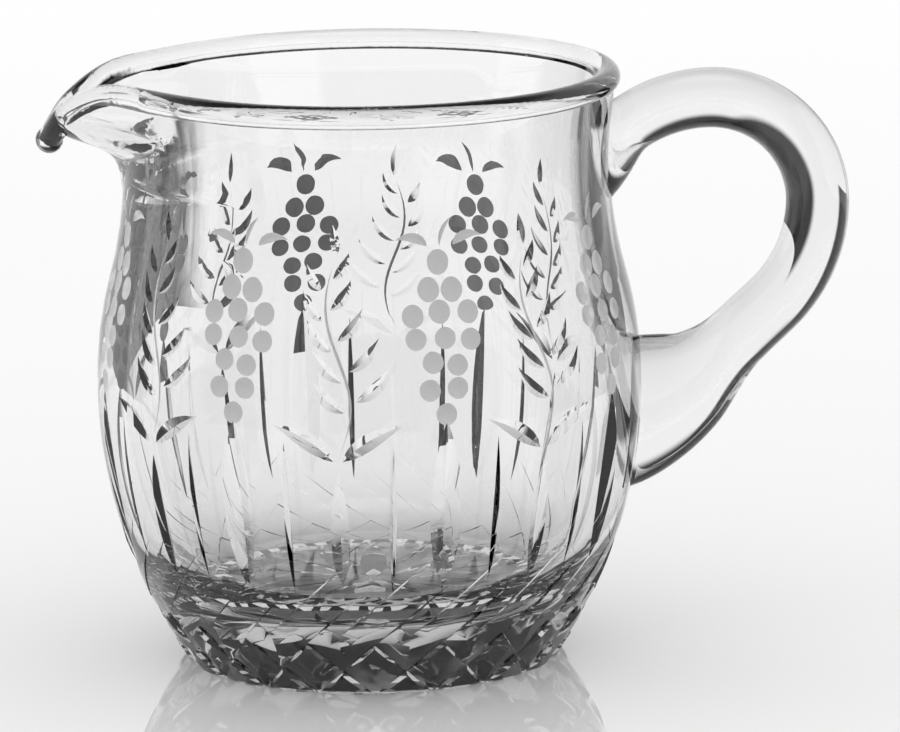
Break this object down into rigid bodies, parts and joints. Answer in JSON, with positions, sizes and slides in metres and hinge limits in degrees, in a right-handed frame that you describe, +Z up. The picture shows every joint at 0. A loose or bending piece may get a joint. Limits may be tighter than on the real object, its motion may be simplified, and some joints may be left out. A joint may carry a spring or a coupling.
{
  "type": "cream jug",
  "caption": "Clear cut-glass cream jug with a pulled pouring lip, an applied rod handle, a diamond-cut foot, pointed flutes and a star-cut base.",
  "frame": {"origin": "centre of the foot's flat ring, on the body's own axis, where the jug stands", "axes": "+Z up along the body's axis, the pouring lip towards -X, the handle on +X"},
  "size_m": [0.1227, 0.0824, 0.09],
  "materials": {
    "glass": "clear polished crystal glass"
  },
  "bodies": {
    "root": {"body": "glass", "handle": "glass"}
  },
  "joints": []
}
